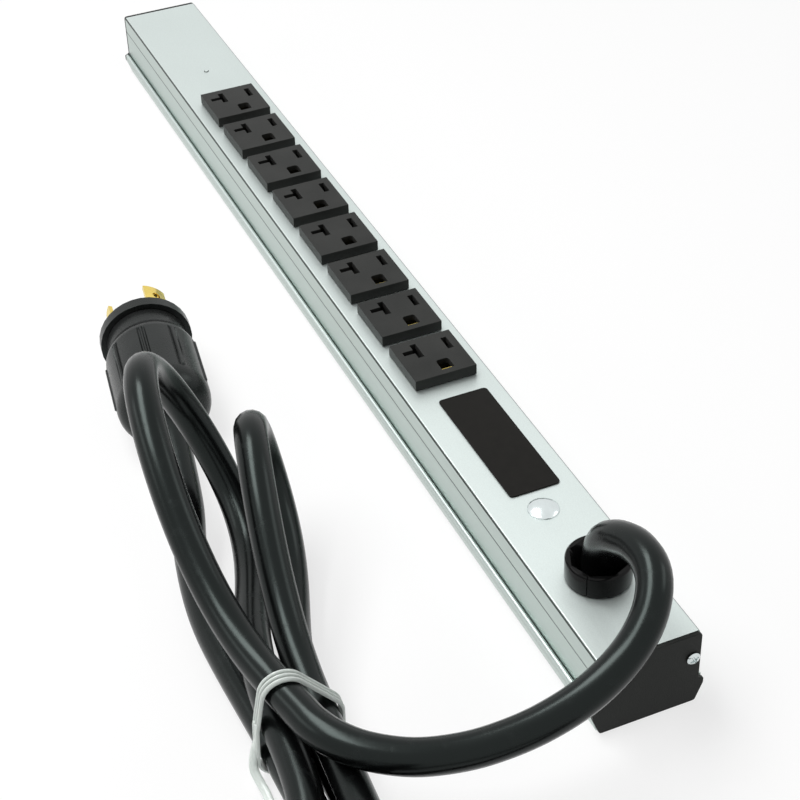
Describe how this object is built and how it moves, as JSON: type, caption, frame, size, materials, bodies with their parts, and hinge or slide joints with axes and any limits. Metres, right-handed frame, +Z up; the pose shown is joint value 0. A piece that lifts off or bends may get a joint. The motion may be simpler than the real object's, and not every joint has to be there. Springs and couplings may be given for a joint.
{
  "type": "power strip",
  "caption": "Aluminium rack power strip with a row of square black outlets, dark end caps and a thick tied cord with a locking plug",
  "frame": {"origin": "middle of the strip's underside, on the surface it rests on", "axes": "+X along the strip towards the cord end, +Y across it, away from the coiled cord, +Z up"},
  "size_m": [0.6531, 0.2287, 0.0867],
  "materials": {
    "aluminium_satin": "satin extruded aluminium, clear",
    "cap_plastic": "dark moulded plastic, fine texture",
    "outlet_black": "black moulded plastic, low sheen",
    "gloss_black": "glossy black nylon",
    "plug_black": "black moulded plastic, fine texture",
    "cord_jacket": "black flexible jacket with a soft sheen",
    "clear_tie": "milky clear ribbed plastic",
    "zinc_steel": "bright zinc-plated steel",
    "brass": "plain brass",
    "liner_fibre": "insulating fibre sheet",
    "wire_jacket": "insulated wire",
    "label_black": "black printed label, left plain"
  },
  "bodies": {
    "root": {"cover": "aluminium_satin", "base": "aluminium_satin", "end_cap_blank": "cap_plastic", "end_cap_cord": "cap_plastic", "end_cap_blank_screw_left": "zinc_steel", "end_cap_blank_screw_right": "zinc_steel", "end_cap_cord_screw_left": "zinc_steel", "end_cap_cord_screw_right": "zinc_steel", "bus_bar_hot": "brass", "bus_bar_neutral": "brass", "bus_bar_ground": "brass", "insulating_liner": "liner_fibre", "wire_hot": "wire_jacket", "wire_neutral": "wire_jacket", "wire_ground": "wire_jacket", "label_plate": "label_black", "hole_plug": "zinc_steel", "ground_rivet": "zinc_steel", "bushing_half_left": "gloss_black", "bushing_half_right": "gloss_black", "cord_lead": "cord_jacket", "cord_hank": "cord_jacket", "cord_plug_run": "cord_jacket", "cord_tie": "clear_tie", "plug_body": "plug_black", "plug_face": "plug_black", "plug_blade_hot": "brass", "plug_blade_neutral": "brass", "plug_blade_ground": "brass", "receptacle_1": "outlet_black", "ground_tab_1": "brass", "receptacle_2": "outlet_black", "ground_tab_2": "brass", "receptacle_3": "outlet_black", "ground_tab_3": "brass", "receptacle_4": "outlet_black", "ground_tab_4": "brass", "receptacle_5": "outlet_black", "ground_tab_5": "brass", "receptacle_6": "outlet_black", "ground_tab_6": "brass", "receptacle_7": "outlet_black", "ground_tab_7": "brass", "receptacle_8": "outlet_black", "ground_tab_8": "brass"}
  },
  "joints": []
}
